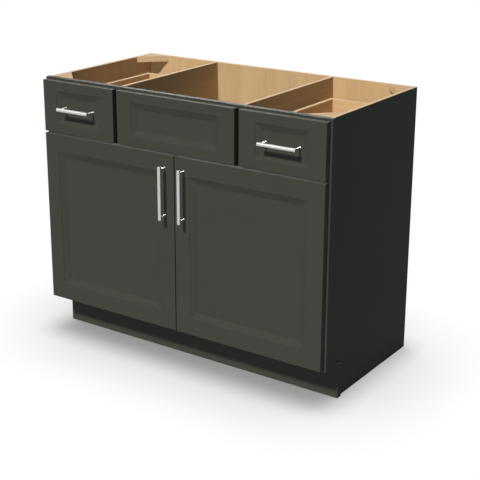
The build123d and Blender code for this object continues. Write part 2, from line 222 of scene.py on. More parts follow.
class Coating(NamedTuple):
    """The varying sockets of a finish."""

    colour: Socket
    roughness: Socket
    height: Socket

    def link(self, graph: Graph, shader: Node, depth: float) -> None:
        """Link the coating to a shader.

        Args:
            graph: The material's graph.
            shader: The principled shader.
            depth: The depth of the relief, in metres.
        """
        graph.put(shader.inputs["Base Color"], self.colour)
        graph.put(shader.inputs["Roughness"], self.roughness)
        graph.put(shader.inputs["Normal"], graph.bump(self.height, depth))


def new_surface(name: str) -> tuple[Material, Graph, Node]:
    """Start a material.

    Args:
        name: The material's name.

    Returns:
        The material, its graph and its principled shader.
    """
    material = bpy.data.materials.new(name)
    material.use_nodes = True
    graph = Graph(material.node_tree)
    shader = graph.node("ShaderNodeBsdfPrincipled")
    graph.node("ShaderNodeOutputMaterial", {"Surface": shader.outputs["BSDF"]})
    return material, graph, shader


def spread(lengthwise: Axis, along: float, across: float) -> list[float]:
    """Return features per metre on each axis, some along one axis and others across it."""
    return [along if axis is lengthwise else across for axis in Axis]


def shades(colour: Colour, tone: float) -> tuple[Colour, Colour]:
    """Return a colour darker by a share, and lighter by the same share."""
    return tuple(c * (1 - tone) for c in colour), tuple(c * (1 + tone) for c in colour)


# Finishes


@dataclass(frozen=True)
class Paint:
    """Sprayed satin paint with a faint cloud and orange peel."""

    colour: Colour = (0.0503, 0.0525, 0.0392)
    cloud: float = 0.06
    cloud_scale: float = 7.0
    peel_scale: float = 420.0
    peel_depth: float = 0.03 * MM
    roughness: Span = (0.40, 0.50)
    specular: float = 0.009

    def coating(self, graph: Graph) -> Coating:
        """Build the paint.

        Args:
            graph: The material's graph.

        Returns:
            The paint's varying sockets.
        """
        cloud = graph.noise([self.cloud_scale] * 3, detail=2.0)
        peel = graph.noise([self.peel_scale] * 3, detail=1.0)
        colour = graph.blend(cloud, *shades(self.colour, self.cloud))
        return Coating(colour, graph.ranged(peel, *self.roughness), peel)

    def material(self, name: str) -> Material:
        """Build a material that is painted all over.

        Args:
            name: The material's name.

        Returns:
            The material.
        """
        material, graph, shader = new_surface(name)
        self.coating(graph).link(graph, shader, self.peel_depth)
        shader.inputs["Specular IOR Level"].default_value = self.specular
        return material


@dataclass(frozen=True)
class Plywood:
    """Clear-lacquered maple plywood: figured faces, layered edges."""

    light: Colour = (0.608, 0.408, 0.208)
    dark: Colour = (0.524, 0.345, 0.168)
    edge_light: Colour = (0.780, 0.600, 0.380)
    edge_dark: Colour = (0.640, 0.460, 0.260)
    ply: float = 2.54 * MM
    ply_contrast: float = 0.75
    figure: Span = (1.3, 20.0)
    figure_warp: float = 0.8
    streak: Span = (11.0, 330.0)
    streak_share: float = 0.45
    contrast: Span = (0.30, 0.70)
    edge_slope: float = 0.6
    seed_steps: tuple[float, float, float] = (3.7, 1.9, 2.3)
    roughness: Span = (0.42, 0.60)
    grain_depth: float = 0.05 * MM
    specular: float = 0.005

    def coating(self, graph: Graph, grain: Axis, thickness: Axis, low: float, seed: int) -> Coating:
        """Build the wood of one board.

        Args:
            graph: The material's graph.
            grain: The way that the grain runs.
            thickness: The way through the board.
            low: Where the board's thickness begins, in metres.
            seed: A number that gives the board its own figure.

        Returns:
            The wood's varying sockets.
        """
        shift = [seed * step for step in self.seed_steps]
        figure = graph.noise(spread(grain, *self.figure), shift, detail=4.0, warp=self.figure_warp)
        streak = graph.noise(spread(grain, *self.streak), shift)
        tone = graph.eased(graph.blend_value(self.streak_share, figure, streak), *self.contrast)
        face = graph.blend(tone, self.dark, self.light)
        depth = graph.math("SUBTRACT", graph.along("Object", thickness), low)
        layer = graph.math("FRACT", graph.math("DIVIDE", depth, 2 * self.ply))
        crossed = graph.math("LESS_THAN", layer, 0.5)
        lengthwise = graph.blend(streak, self.edge_dark, self.edge_light)
        end_grain = graph.blend(streak, self.dark, self.edge_dark)
        edge = graph.blend(graph.math("MULTIPLY", crossed, self.ply_contrast), end_grain, lengthwise)
        slope = graph.math("ABSOLUTE", graph.along("Normal", thickness))
        colour = graph.blend(graph.math("LESS_THAN", slope, self.edge_slope), face, edge)
        return Coating(colour, graph.ranged(streak, *self.roughness), streak)

    def material(self, name: str, grain: Axis, thickness: Axis, low: float, seed: int) -> Material:
        """Build the material of one raw board.

        Args:
            name: The material's name.
            grain: The way that the grain runs.
            thickness: The way through the board.
            low: Where the board's thickness begins, in metres.
            seed: A number that gives the board its own figure.

        Returns:
            The material.
        """
        material, graph, shader = new_surface(name)
        self.coating(graph, grain, thickness, low, seed).link(graph, shader, self.grain_depth)
        shader.inputs["Specular IOR Level"].default_value = self.specular
        return material


@dataclass(frozen=True)
class PaintedPlywood:
    """Plywood that is painted on the face that looks outward and raw elsewhere."""

    paint: Paint
    wood: Plywood
    outward: float = 0.6

    def material(self, name: str, hand: Hand, low: float, seed: int) -> Material:
        """Build the material of a side panel.

        Args:
            name: The material's name.
            hand: The side that the panel stands on.
            low: Where the panel's thickness begins, in metres.
            seed: A number that gives the panel its own figure.

        Returns:
            The material.
        """
        material, graph, shader = new_surface(name)
        coat = self.paint.coating(graph)
        raw = self.wood.coating(graph, Axis.Z, Axis.X, low, seed)
        facing = graph.math("MULTIPLY", graph.along("Normal", Axis.X), float(hand.value))
        painted = graph.math("GREATER_THAN", facing, self.outward)
        colour = graph.blend(painted, raw.colour, coat.colour)
        roughness = graph.blend_value(painted, raw.roughness, coat.roughness)
        height = graph.blend_value(painted, raw.height, coat.height)
        Coating(colour, roughness, height).link(graph, shader, self.paint.peel_depth)
        shader.inputs["Specular IOR Level"].default_value = self.paint.specular
        return material


@dataclass(frozen=True)
class Metal:
    """Plated metal with fine lines along one axis, or a cloudy plate where the axis is None."""

    colour: Colour
    roughness: Span
    brushed: Axis | None = None
    line: Span = (25.0, 2600.0)
    cloud_scale: float = 130.0
    cloud_warp: float = 0.6
    tone: float = 0.08
    line_depth: float = 0.012 * MM

    def material(self, name: str) -> Material:
        """Build the metal's material.

        Args:
            name: The material's name.

        Returns:
            The material.
        """
        material, graph, shader = new_surface(name)
        if self.brushed is None:
            pattern = graph.noise([self.cloud_scale] * 3, warp=self.cloud_warp)
        else:
            pattern = graph.noise(spread(self.brushed, *self.line), detail=2.0)
        colour = graph.blend(pattern, *shades(self.colour, self.tone))
        roughness = graph.ranged(pattern, *self.roughness)
        Coating(colour, roughness, pattern).link(graph, shader, self.line_depth)
        shader.inputs["Metallic"].default_value = 1.0
        return material


@dataclass(frozen=True)
class SoftPlastic:
    """Milky elastic plastic."""

    colour: Colour = (0.62, 0.62, 0.58)
    cloud: float = 0.1
    cloud_scale: float = 260.0
    roughness: Span = (0.35, 0.50)
    glow: float = 0.2
    glow_depth: float = 2 * MM

    def material(self, name: str) -> Material:
        """Build the plastic's material.

        Args:
            name: The material's name.

        Returns:
            The material.
        """
        material, graph, shader = new_surface(name)
        cloud = graph.noise([self.cloud_scale] * 3)
        milky = shades(self.colour, self.cloud)[0]
        graph.put(shader.inputs["Base Color"], graph.blend(cloud, milky, self.colour))
        graph.put(shader.inputs["Roughness"], graph.ranged(cloud, *self.roughness))
        shader.inputs["Subsurface Weight"].default_value = self.glow
        shader.inputs["Subsurface Scale"].default_value = self.glow_depth
        return material


@dataclass(frozen=True)
class Palette:
    """The finishes of the cabinet."""

    paint: Paint = Paint()
    wood: Plywood = Plywood()
    nickel: Metal = Metal((0.55, 0.55, 0.525), (0.33, 0.39))
    zinc: Metal = Metal((0.56, 0.57, 0.58), (0.22, 0.42))
    plastic: SoftPlastic = SoftPlastic()


def shared(name: str, finish: Paint | Metal) -> Material:
    """Return the material of this name, built from a finish where it is new."""
    return bpy.data.materials.get(name) or finish.material(name)


# Meshes


def set_material(piece: Piece, material: Material) -> None:
    """Dress an object through its own slots, with its mesh left as it is.

    Args:
        piece: The object.
        material: Its material.
    """
    if not piece.material_slots:
        piece.data.materials.append(None)
    for slot in piece.material_slots:
        slot.link = "OBJECT"
        slot.material = material


def ease_edges(piece: Piece, width: float) -> None:
    """Round a board's sharp edges with modifiers.

    Args:
        piece: The board.
        width: How far the rounding reaches from the edge.
    """
    weld = piece.modifiers.new("weld", "WELD")
    weld.merge_threshold = 0.01 * MM
    bevel = piece.modifiers.new("ease", "BEVEL")
    bevel.width = width
    bevel.segments = 2
    bevel.limit_method = "ANGLE"
    bevel.angle_limit = math.radians(40)
    shade = piece.modifiers.new("shade", "WEIGHTED_NORMAL")
    shade.mode = "FACE_AREA"
    shade.weight = 100


def lathe(shape: bmesh.types.BMesh, profile: Sequence[Span], foot: Vector, axis: Vector, sides: int) -> None:
    """Turn a profile about an axis and add it to a mesh.

    Args:
        shape: The mesh under construction.
        profile: Radius and height of each point, from the bottom up, closed at both ends.
        foot: The axis's point at height 0.
        axis: The unit vector along the axis.
        sides: Faces round the turning.
    """
    across = axis.orthogonal().normalized()
    over = axis.cross(across)
    turns = [2 * math.pi * i / sides for i in range(sides)]
    spokes = [across * math.cos(turn) + over * math.sin(turn) for turn in turns]
    rings = []
    for radius, height in profile:
        middle = foot + axis * height
        count = 1 if radius == 0 else sides
        rings.append([shape.verts.new(middle + spokes[i] * radius) for i in range(count)])
    for below, above in zip(rings, rings[1:]):
        for i in range(sides):
            pair = (i, (i + 1) % sides)
            corners = [below[k % len(below)] for k in pair]
            corners += [above[k % len(above)] for k in reversed(pair)]
            shape.faces.new(list(dict.fromkeys(corners))).smooth = True


def rounded_end(radius: float, height: float, ease: float, outward: int) -> list[Span]:
    """Return the profile points of a rod's eased end.

    Args:
        radius: The rod's radius.
        height: The height of the end.
        ease: The radius of the rounding.
        outward: 1 at the upper end, -1 at the lower.

    Returns:
        Points from the rod's flank to the axis.
    """
    steps = 4
    flank_start = 1.6
    points = [(radius, height - outward * ease * flank_start)]
    for turn in (math.pi / 2 * i / steps for i in range(steps + 1)):
        inset = ease * (1 - math.cos(turn))
        drop = ease * (1 - math.sin(turn))
        points.append((radius - inset, height - outward * drop))
    return [*points, (0.0, height)]


def finished(name: str, shape: bmesh.types.BMesh, material: Material) -> Piece:
    """Turn a finished mesh into an object at the origin.

    Args:
        name: The piece's name.
        shape: The mesh under construction, which is freed.
        material: The piece's material.

    Returns:
        The object.
    """
    bmesh.ops.recalc_face_normals(shape, faces=shape.faces)
    for edge in shape.edges:
        edge.smooth = edge.calc_face_angle(0.0) < SHARP
    mesh = bpy.data.meshes.new(name)
    shape.to_mesh(mesh)
    shape.free()
    mesh.materials.append(material)
    piece = bpy.data.objects.new(name, mesh)
    bpy.context.scene.collection.objects.link(piece)
    return piece


# Round heads that repeat


@dataclass
class HeadSet:
    """Round heads placed by a node tree: screw heads with a cross recess, or plain domes."""

    name: str
    diameter: float
    height: float
    recess: float
    sides: int = 24
    tiers: tuple[Span, ...] = ((1.0, 0.0), (0.97, 0.35), (0.82, 0.72), (0.55, 1.0))
    seal: float = 0.002 * MM
    slot_share: float = 0.24
    seed: int = 7
    inputs: dict[str, str] = field(default_factory=dict)

    def sizes(self) -> dict[str, float]:
        """Return the values of the tree's size inputs."""
        return {"Diameter": self.diameter, "Height": self.height, "Recess": self.recess}

    def tree(self) -> bpy.types.NodeTree:
        """Build the node tree, with an input for each size.

        Returns:
            The tree.
        """
        tree = bpy.data.node_groups.new(self.name, "GeometryNodeTree")
        graph = Graph(tree)
        tree.interface.new_socket("Seats", in_out="INPUT", socket_type="NodeSocketGeometry")
        kinds = {**dict.fromkeys(self.sizes(), "NodeSocketFloat"), "Finish": "NodeSocketMaterial"}
        for name, kind in kinds.items():
            socket = tree.interface.new_socket(name, in_out="INPUT", socket_type=kind)
            self.inputs[name] = socket.identifier
        tree.interface.new_socket("Heads", in_out="OUTPUT", socket_type="NodeSocketGeometry")
        source = graph.node("NodeGroupInput").outputs
        head = self.head(graph, source["Diameter"], source["Height"])
        cut = graph.node("GeometryNodeMeshBoolean", {"Mesh 1": head}, operation="DIFFERENCE")
        for turn in (0.0, math.pi / 2):
            graph.put(cut.inputs["Mesh 2"], self.slot(graph, source["Recess"], source["Height"], turn))
        crossed = graph.math("GREATER_THAN", source["Recess"], 0.0)
        shapes = {"Switch": crossed, "False": head, "True": cut.outputs["Mesh"]}
        choice = graph.node("GeometryNodeSwitch", shapes, input_type="GEOMETRY")
        placed = self.placed(graph, source["Seats"], choice.outputs["Output"])
        whole = graph.node("GeometryNodeRealizeInstances", {"Geometry": placed})
        finish = {"Geometry": whole.outputs["Geometry"], "Material": source["Finish"]}
        dressed = graph.node("GeometryNodeSetMaterial", finish)
        graph.node("NodeGroupOutput", {"Heads": dressed.outputs["Geometry"]})
        return tree

    def head(self, graph: Graph, diameter: Socket, height: Socket) -> Socket:
        """Build a domed head up from tapered tiers, with its foot at the origin, facing +Z.

        Args:
            graph: The node tree.
            diameter: The head's diameter.
            height: The head's height.

        Returns:
            The head's mesh.
        """
        radius = graph.math("MULTIPLY", diameter, 0.5)
        joined = graph.node("GeometryNodeJoinGeometry")
        for (wide, low), (narrow, high) in zip(self.tiers, self.tiers[1:]):
            size = {
                "Vertices": self.sides,
                "Radius Bottom": graph.math("MULTIPLY", radius, wide),
                "Radius Top": graph.math("MULTIPLY", radius, narrow),
                "Depth": graph.math("MULTIPLY", height, high - low),
            }
            tier = graph.node("GeometryNodeMeshCone", size, fill_type="NGON")
            mesh = tier.outputs["Mesh"]
            for side, outer in (("Bottom", low == 0), ("Top", high == 1)):
                if not outer:
                    face = {"Geometry": mesh, "Selection": tier.outputs[side]}
                    opened = graph.node("GeometryNodeDeleteGeometry", face, domain="FACE", mode="ONLY_FACE")
                    mesh = opened.outputs["Geometry"]
            moved = self.lifted(graph, mesh, graph.math("MULTIPLY", height, low))
            graph.put(joined.inputs["Geometry"], moved)
        whole = {"Geometry": joined.outputs["Geometry"], "Distance": self.seal}
        return graph.node("GeometryNodeMergeByDistance", whole).outputs["Geometry"]

    def slot(self, graph: Graph, recess: Socket, height: Socket, turn: float) -> Socket:
        """Build one bar of the cross that is cut out of a head's top.

        Args:
            graph: The node tree.
            recess: The bar's length.
            height: The head's height.
            turn: The bar's turn about Z, in radians.

        Returns:
            The bar's mesh.
        """
        narrow = graph.math("MULTIPLY", recess, self.slot_share)
        size = graph.node("ShaderNodeCombineXYZ", {"X": recess, "Y": narrow, "Z": height})
        bar = graph.node("GeometryNodeMeshCube", {"Size": size.outputs["Vector"]})
        return self.lifted(graph, bar.outputs["Mesh"], height, turn)

    @staticmethod
    def lifted(graph: Graph, mesh: Socket, height: Socket, turn: float = 0.0) -> Socket:
        """Move a mesh up.

        Args:
            graph: The node tree.
            mesh: The mesh.
            height: How far it goes up.
            turn: Its turn about Z, in radians.

        Returns:
            The moved mesh.
        """
        lift = graph.node("ShaderNodeCombineXYZ", {"Z": height}).outputs["Vector"]
        place = {"Geometry": mesh, "Translation": lift, "Rotation": (0.0, 0.0, turn)}
        return graph.node("GeometryNodeTransform", place).outputs["Geometry"]

    def placed(self, graph: Graph, seats: Socket, head: Socket) -> Socket:
        """Put the head on every seat, turned to face outward and by chance about its own axis.

        Args:
            graph: The node tree.
            seats: The points to sit on, with the attributes facing and size.
            head: The head's mesh.

        Returns:
            The heads, as instances.
        """
        facing = graph.node("GeometryNodeInputNamedAttribute", {"Name": "facing"}, data_type="FLOAT_VECTOR")
        size = graph.node("GeometryNodeInputNamedAttribute", {"Name": "size"}, data_type="FLOAT")
        outward = {"Vector": facing.outputs["Attribute"]}
        aligned = graph.node("FunctionNodeAlignRotationToVector", outward, axis="Z")
        place = {"Rotation": aligned.outputs["Rotation"], "Scale": size.outputs["Attribute"]}
        copies = graph.node("GeometryNodeInstanceOnPoints", {"Points": seats, "Instance": head, **place})
        draw = {"Max": math.pi, "Seed": self.seed}
        chance = graph.node("FunctionNodeRandomValue", draw, data_type="FLOAT")
        spin = graph.node("ShaderNodeCombineXYZ", {"Z": chance.outputs["Value"]})
        turn = {"Instances": copies.outputs["Instances"], "Rotation": spin.outputs["Vector"]}
        return graph.node("GeometryNodeRotateInstances", turn).outputs["Instances"]

    def make(self, name: str, seats: Iterable[Seat], material: Material) -> Piece:
        """Make one body's heads as a plain mesh.

        Args:
            name: The piece's name.
            seats: Where the heads sit.
            material: Their material.

        Returns:
            The piece.
        """
        seats = list(seats)
        points = bpy.data.meshes.new(f"{name}_seats")
        points.from_pydata([seat.foot for seat in seats], [], [])
        facing = points.attributes.new("facing", "FLOAT_VECTOR", "POINT")
        facing.data.foreach_set("vector", [c for seat in seats for c in seat.facing])
        size = points.attributes.new("size", "FLOAT", "POINT")
        size.data.foreach_set("value", [seat.size for seat in seats])
        piece = bpy.data.objects.new(name, points)
        bpy.context.scene.collection.objects.link(piece)
        grown = piece.modifiers.new("heads", "NODES")
        grown.node_group = bpy.data.node_groups.get(self.name) or self.tree()
        for key, value in {**self.sizes(), "Finish": material}.items():
            grown[self.inputs[key]] = value
        evaluated = piece.evaluated_get(bpy.context.evaluated_depsgraph_get())
        mesh = bpy.data.meshes.new_from_object(evaluated)
        mesh.name = name
        piece.modifiers.clear()
        piece.data = mesh
        return piece


# Sub-assemblies


@dataclass
class Assembly:
    """What every sub-assembly shares: the finishes and the making of its dress."""

    palette: Palette
    screws: HeadSet
    ease: float = 0.5 * MM

    def paint_nodes(self, names: Iterable[str], eased: bool) -> None:
        """Paint nodes with the cabinet's one paint.

        Args:
            names: The nodes.
            eased: Whether their edges are rounded here.
        """
        paint = shared("satin_paint", self.palette.paint)
        for name in names:
            set_material(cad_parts[name], paint)
            if eased:
                ease_edges(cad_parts[name], self.ease)
            LOG.info("painted %s", name)

    def board(self, name: str, grain: Axis, thickness: Axis) -> None:
        """Dress a raw board.

        Args:
            name: The board's node.
            grain: The way that its grain runs.
            thickness: The way through the board.
        """
        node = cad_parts[name]
        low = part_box(name)[0][thickness.value]
        seed = sorted(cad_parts).index(name)
        set_material(node, self.palette.wood.material(f"ply_{name}", grain, thickness, low, seed))
        ease_edges(node, self.ease)
        LOG.info("raw wood on %s", name)

    def plate_nodes(self, names: Iterable[str]) -> None:
        """Give nodes the zinc plate.

        Args:
            names: The nodes.
        """
        zinc = shared("zinc_plate", self.palette.zinc)
        for name in names:
            set_material(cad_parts[name], zinc)
            LOG.info("zinc on %s", name)

    def add_screws(self, name: str, body: str, seats: Iterable[Seat]) -> None:
        """Add one body's screws.

        Args:
            name: The piece's name.
            body: The body that it rides.
            seats: Where the heads sit.
        """
        piece = self.screws.make(name, seats, shared("zinc_plate", self.palette.zinc))
        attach(piece, body)
        LOG.info("added %s", name)


@dataclass
class Carcass(Assembly):
    """The box, the face frame, the fixed sink front and the hardware fixed to them."""

    plate_height: float = 44 * MM
    plate_screw_rise: float = 14 * MM
    clip_plate: float = 2 * MM
    clip_seat: float = 25 * MM
    clip_screw_share: float = 0.55
    clip_screw_rise: float = 11 * MM
    bumper_diameter: float = 10 * MM
    side_seed: int = 5

    def dress(self) -> None:
        """Paint, show the wood, plate the hardware and add the screws and bumpers."""
        pairs = [hand.node(name) for hand in Hand for name in ("frame_stile", "frame_mullion")]
        rails = ["frame_top_rail", "frame_mid_rail", "frame_bottom_rail"]
        self.paint_nodes([*pairs, *rails, "toe_board"], True)
        self.paint_nodes(["sink_front_stiles", "sink_front_rails", "sink_front_panel"], False)
        self.board("back_panel", Axis.Z, Axis.Y)
        self.board("bottom_panel", Axis.X, Axis.Z)
        self.board("sub_toe_board", Axis.X, Axis.Y)
        self.board("slide_packers", Axis.Y, Axis.X)
        for hand in Hand:
            self.board(hand.node("divider"), Axis.Y, Axis.X)
            self.board(hand.node("front_brace"), Axis.X, Axis.Z)
            self.board(hand.node("back_brace"), Axis.X, Axis.Z)
            self.side(hand)
        arms = [hand.node("hinge_arms") for hand in Hand]
        self.plate_nodes([*arms, "sink_front_clips", "slide_outer_rails"])
        self.add_screws("carcass_screws", "carcass", [*self.plate_seats(), *self.clip_seats()])
        self.bumpers()

    def side(self, hand: Hand) -> None:
        """Dress a side panel: painted outside, raw inside and on its edges.

        Args:
            hand: The side that the panel stands on.
        """
        name = hand.node("side_panel")
        finish = PaintedPlywood(self.palette.paint, self.palette.wood)
        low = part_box(name)[0].x
        seed = self.side_seed + hand.value
        set_material(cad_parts[name], finish.material(f"finish_{name}", hand, low, seed))
        ease_edges(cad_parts[name], self.ease)
        LOG.info("paint and raw wood on %s", name)

    def plate_seats(self) -> list[Seat]:
        """Find the screws in the hinge plates.

        Returns:
            The screws' seats.
        """
        seats = []
        for hand in Hand:
            low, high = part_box(hand.node("hinge_arms"))
            stile_low, stile_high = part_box(hand.node("frame_stile"))
            face = low.x if hand is Hand.RIGHT else high.x
            middle = (stile_low.y + stile_high.y) / 2
            facing = Vector((-hand.value, 0, 0))
            for level in (low.z + self.plate_height / 2, high.z - self.plate_height / 2):
                for rise in (-self.plate_screw_rise, self.plate_screw_rise):
                    seats.append(Seat(Vector((face, middle, level + rise)), facing))
        return seats

    def clip_seats(self) -> list[Seat]:
        """Find the screws in the sink front's clips.

        Returns:
            The screws' seats.
        """
        low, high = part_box("sink_front_clips")
        frame_low, frame_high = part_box("frame_mid_rail")
        middle = (low.z + high.z) / 2
        frame_middle = (frame_low.y + frame_high.y) / 2
        seats = []
        for hand in Hand:
            across = hand.value * (high.x - self.clip_seat * self.clip_screw_share)
            inner = hand.value * (high.x - self.clip_plate)
            for rise in (-self.clip_screw_rise, self.clip_screw_rise):
                level = middle + rise
                seats.append(Seat(Vector((across, low.y + self.clip_plate, level)), BACKWARD))
                seats.append(Seat(Vector((inner, frame_middle, level)), Vector((-hand.value, 0, 0))))
        return seats

    def bumpers(self) -> None:
        """Replace the bumpers by domes on the face frame."""
        low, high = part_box("bumpers")
        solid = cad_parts["bumpers"].data
        feet = bumper_feet([vertex.co.copy() for vertex in solid.vertices], high.y)
        domes = HeadSet("bumper_domes", self.bumper_diameter, high.y - low.y, 0.0)
        seats = [Seat(foot, FORWARD) for foot in feet]
        piece = domes.make("bumper_domes", seats, self.palette.plastic.material("milky_plastic"))
        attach(piece, "carcass")
        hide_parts("bumpers")
        LOG.info("added bumper_domes")


def bumper_feet(points: Sequence[Vector], plane: float) -> list[Vector]:
    """Find the centres of the round feet among a node's points.

    Args:
        points: The node's points.
        plane: The Y of the feet.

    Returns:
        One centre for each foot.
    """
    reach = 12 * MM
    level = 0.05 * MM
    groups: list[list[Vector]] = []
    for point in (p for p in points if abs(p.y - plane) < level):
        home = next((group for group in groups if (group[0] - point).length < reach), None)
        if home is None:
            groups.append([point])
        else:
            home.append(point)
    feet = []
    for group in groups:
        wide = [p.x for p in group]
        tall = [p.z for p in group]
        feet.append(Vector(((min(wide) + max(wide)) / 2, plane, (min(tall) + max(tall)) / 2)))
    return feet


@dataclass
class BarPull:
    """A round bar on two posts, which end a share of the bar's radius short of its axis."""

    palette: Palette
    bar_radius: float = 6 * MM
    post_radius: float = 3 * MM
    post_share: float = 0.8
    overhang: float = 9 * MM
    end_ease: float = 0.9 * MM
    foot_flare: float = 0.3 * MM
    bar_sides: int = 48
    post_sides: int = 28

    def posts(self, node: str, along: Axis) -> list[Vector]:
        """Return the feet of a pull's posts.

        Args:
            node: The pull's node.
            along: The way that the bar runs.

        Returns:
            The two feet, on the face that carries the pull.
        """
        low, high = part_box(node)
        middle = (low + high) / 2
        half = (high - low)[along.value] / 2 - self.overhang
        return [Vector((middle.x, high.y, middle.z)) + along.vector * reach for reach in (-half, half)]

    def make(self, node: str, body: str, along: Axis) -> None:
        """Replace a pull's node by turned metal.

        Args:
            node: The pull's node.
            body: The body that it rides.
            along: The way that the bar runs.
        """
        low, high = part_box(node)
        length = (high - low)[along.value]
        bar_y = low.y + self.bar_radius
        foot = (low + high) / 2 - along.vector * (length / 2)
        foot.y = bar_y
        lower = rounded_end(self.bar_radius, 0.0, self.end_ease, -1)[::-1]
        upper = rounded_end(self.bar_radius, length, self.end_ease, 1)
        shape = bmesh.new()
        lathe(shape, [*lower, *upper], foot, along.vector, self.bar_sides)
        flare = self.post_radius + self.foot_flare
        reach = high.y - bar_y - self.bar_radius * self.post_share
        profile = [(0.0, 0.0), (flare, 0.0), (flare, self.foot_flare)]
        profile += [(self.post_radius, 2 * self.foot_flare), (self.post_radius, reach), (0.0, reach)]
        for post in self.posts(node, along):
            lathe(shape, profile, post, FORWARD, self.post_sides)
        finish = replace(self.palette.nickel, brushed=along)
        material = shared(f"satin_nickel_{along.name.lower()}", finish)
        piece = finished(f"{node}_turned", shape, material)
        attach(piece, body)
        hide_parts(node)
        LOG.info("added %s", piece.name)


@dataclass
class Door(Assembly):
    """A framed door with its hinge cups and pull."""

    hand: Hand = Hand.LEFT
    flange_height: float = 52 * MM
    flange_screw_inset: float = 4.3 * MM
    flange_screw_size: float = 0.75
    pull_screw_size: float = 1.15

    def dress(self) -> None:
        """Paint the door, plate its hinges and add its pull and screws."""
        names = [self.hand.node(name) for name in ("door_stiles", "door_rails", "door_panel")]
        self.paint_nodes(names, False)
        self.plate_nodes([self.hand.node("hinge_cups"), self.hand.node("hinge_pins")])
        body = self.hand.node("door")
        pull = BarPull(self.palette)
        pull.make(self.hand.node("door_pull"), body, Axis.Z)
        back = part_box(self.hand.node("door_rails"))[1].y
        posts = pull.posts(self.hand.node("door_pull"), Axis.Z)
        seats = [Seat(Vector((post.x, back, post.z)), BACKWARD, self.pull_screw_size) for post in posts]
        self.add_screws(f"{body}_screws", body, [*seats, *self.flange_seats()])

    def flange_seats(self) -> list[Seat]:
        """Find the screws in the hinge cups' flanges.

        Returns:
            The screws' seats.
        """
        low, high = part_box(self.hand.node("hinge_cups"))
        middle = (low.x + high.x) / 2
        levels = (low.z + self.flange_height / 2, high.z - self.flange_height / 2)
        rise = self.flange_height / 2 - self.flange_screw_inset
        feet = [Vector((middle, high.y, level + way * rise)) for level in levels for way in (-1, 1)]
        return [Seat(foot, BACKWARD, self.flange_screw_size) for foot in feet]


@dataclass
class Drawer(Assembly):
    """A framed drawer front on its box, with the rails that ride on it."""

    hand: Hand = Hand.LEFT
    rail_steel: float = 1.2 * MM
    rail_screw_inset: float = 36 * MM
    rail_screw_size: float = 0.9
    front_screw_inset: float = 26 * MM
    front_screw_rise: float = 20 * MM
    pull_overhang: float = 6.5 * MM
    pull_screw_size: float = 1.15

    def dress(self) -> None:
        """Paint the front, show the box's wood, plate the rails and add the pull and screws."""
        names = [self.hand.node(f"drawer_front_{name}") for name in ("stiles", "rails", "panel")]
        self.paint_nodes(names, False)
        self.board(self.hand.node("drawer_box_sides"), Axis.Y, Axis.X)
        self.board(self.hand.node("drawer_box_front"), Axis.X, Axis.Y)
        self.board(self.hand.node("drawer_box_back"), Axis.X, Axis.Y)
        self.board(self.hand.node("drawer_bottom"), Axis.Y, Axis.Z)
        self.plate_nodes([self.hand.node("slide_inner_rails"), self.hand.node("slide_middle_rails")])
        body = self.hand.node("drawer")
        pull = BarPull(self.palette, overhang=self.pull_overhang)
        pull.make(self.hand.node("drawer_pull"), body, Axis.X)
        posts = pull.posts(self.hand.node("drawer_pull"), Axis.X)
        self.add_screws(f"{body}_screws", body, [*self.front_seats(posts), *self.rail_seats()])

    def front_seats(self, posts: Sequence[Vector]) -> list[Seat]:
        """Find the screws inside the box's front.

        Args:
            posts: The feet of the pull's posts.

        Returns:
            The seats of the pull's screws and of those that hold the front.
        """
        low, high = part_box(self.hand.node("drawer_box_front"))
        seats = [Seat(Vector((post.x, high.y, post.z)), BACKWARD, self.pull_screw_size) for post in posts]
        middle = posts[0].z
        for across in (low.x + self.front_screw_inset, high.x - self.front_screw_inset):
            for rise in (-self.front_screw_rise, self.front_screw_rise):
                seats.append(Seat(Vector((across, high.y, middle + rise)), BACKWARD))
        return seats

    def rail_seats(self) -> list[Seat]:
        """Find the screws that hold the inner rails to the box.

        Returns:
            The screws' seats.
        """
        low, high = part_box(self.hand.node("slide_inner_rails"))
        box_low, box_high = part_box(self.hand.node("drawer_box_sides"))
        middle = (low.z + high.z) / 2
        depths = (low.y + self.rail_screw_inset, (low.y + high.y) / 2, high.y - self.rail_screw_inset)
        webs = ((box_low.x - self.rail_steel, -1), (box_high.x + self.rail_steel, 1))
        return [Seat(Vector((web, depth, middle)), Vector((way, 0, 0)), self.rail_screw_size)
                for web, way in webs for depth in depths]


# Studio


def bearing(azimuth: float, elevation: float) -> Vector:
    """Return the unit vector towards a bearing.

    Args:
        azimuth: Degrees from the front of the cabinet, to its right.
        elevation: Degrees above the floor.

    Returns:
        The unit vector.
    """
    turn, rise = math.radians(azimuth), math.radians(elevation)
    level = math.cos(rise)
    return Vector((math.sin(turn) * level, -math.cos(turn) * level, math.sin(rise)))


@dataclass(frozen=True)
class Lamp:
    """A distant lamp on a bearing in degrees, with the width of its face in degrees."""

    name: str
    azimuth: float
    elevation: float
    strength: float
    width: float
    shadow: bool = True
    shows: Shows = Shows.ALL
    colour: Colour = WHITE
    distance: float = 4.0

    def hang(self) -> None:
        """Put the lamp into the scene."""
        lamp = bpy.data.lights.new(self.name, "SUN")
        lamp.energy = self.strength
        lamp.color = self.colour
        lamp.angle = math.radians(self.width)
        lamp.use_shadow = self.shadow
        holder = bpy.data.objects.new(self.name, lamp)
        towards = bearing(self.azimuth, self.elevation)
        holder.rotation_euler = towards.to_track_quat("Z", "Y").to_euler()
        holder.location = towards * self.distance
        holder.visible_diffuse, holder.visible_glossy = self.shows.value
        bpy.context.scene.collection.objects.link(holder)
        LOG.info("hung %s", self.name)


